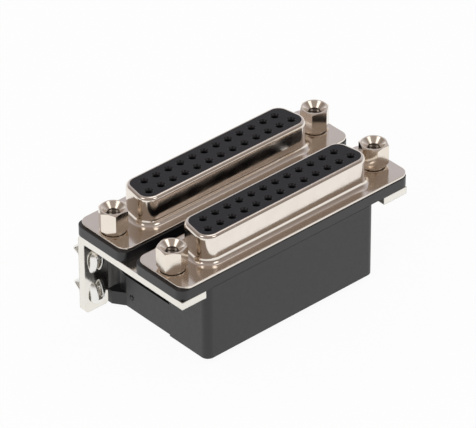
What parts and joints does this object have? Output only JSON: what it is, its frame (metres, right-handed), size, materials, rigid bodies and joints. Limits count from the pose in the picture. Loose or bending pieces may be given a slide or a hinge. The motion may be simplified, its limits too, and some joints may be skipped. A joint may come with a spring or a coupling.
{
  "type": "d-sub connector",
  "caption": "Right-angle circuit-board connector with two stacked D-shaped socket ports, jackscrews, end brackets and board locks.",
  "frame": {"origin": "midway between the left and right jackscrews and midway between the front edge and the tips of the board locks, at the height of the surface that the connector lies on", "axes": "+Z the way a plug comes off the ports, +X along the ports with the wide row of sockets on the viewer's side, +Y towards the circuit board"},
  "size_m": [0.0535, 0.0316, 0.0244],
  "materials": {
    "nickel_plated_shell": "bright nickel plating on drawn steel",
    "nickel_plated_jackscrew": "bright nickel plating on turned steel",
    "nickel_plated_nut": "nickel plating",
    "black_insulator": "satin black moulded thermoplastic",
    "black_housing": "satin black moulded thermoplastic",
    "tin_plated_bracket": "bright tin plating on stamped steel",
    "tin_plated_lock": "bright tin plating on spring strip",
    "plated_contacts": "gold-flashed socket with a tinned tail"
  },
  "bodies": {
    "root": {"port_a_front_shell": "nickel_plated_shell", "port_b_front_shell": "nickel_plated_shell", "port_a_insulator": "black_insulator", "port_b_insulator": "black_insulator", "port_a_wide_row_contacts": "plated_contacts", "port_a_narrow_row_contacts": "plated_contacts", "port_b_wide_row_contacts": "plated_contacts", "port_b_narrow_row_contacts": "plated_contacts", "port_a_rear_housing": "black_housing", "port_b_rear_housing": "black_housing", "left_bracket": "tin_plated_bracket", "right_bracket": "tin_plated_bracket", "left_upper_board_lock": "tin_plated_lock", "left_lower_board_lock": "tin_plated_lock", "right_upper_board_lock": "tin_plated_lock", "right_lower_board_lock": "tin_plated_lock", "port_a_left_jackscrew": "nickel_plated_jackscrew", "port_a_right_jackscrew": "nickel_plated_jackscrew", "port_b_left_jackscrew": "nickel_plated_jackscrew", "port_b_right_jackscrew": "nickel_plated_jackscrew", "port_a_left_clinch_nut": "nickel_plated_nut", "port_a_right_clinch_nut": "nickel_plated_nut", "port_b_left_clinch_nut": "nickel_plated_nut", "port_b_right_clinch_nut": "nickel_plated_nut"}
  },
  "joints": []
}
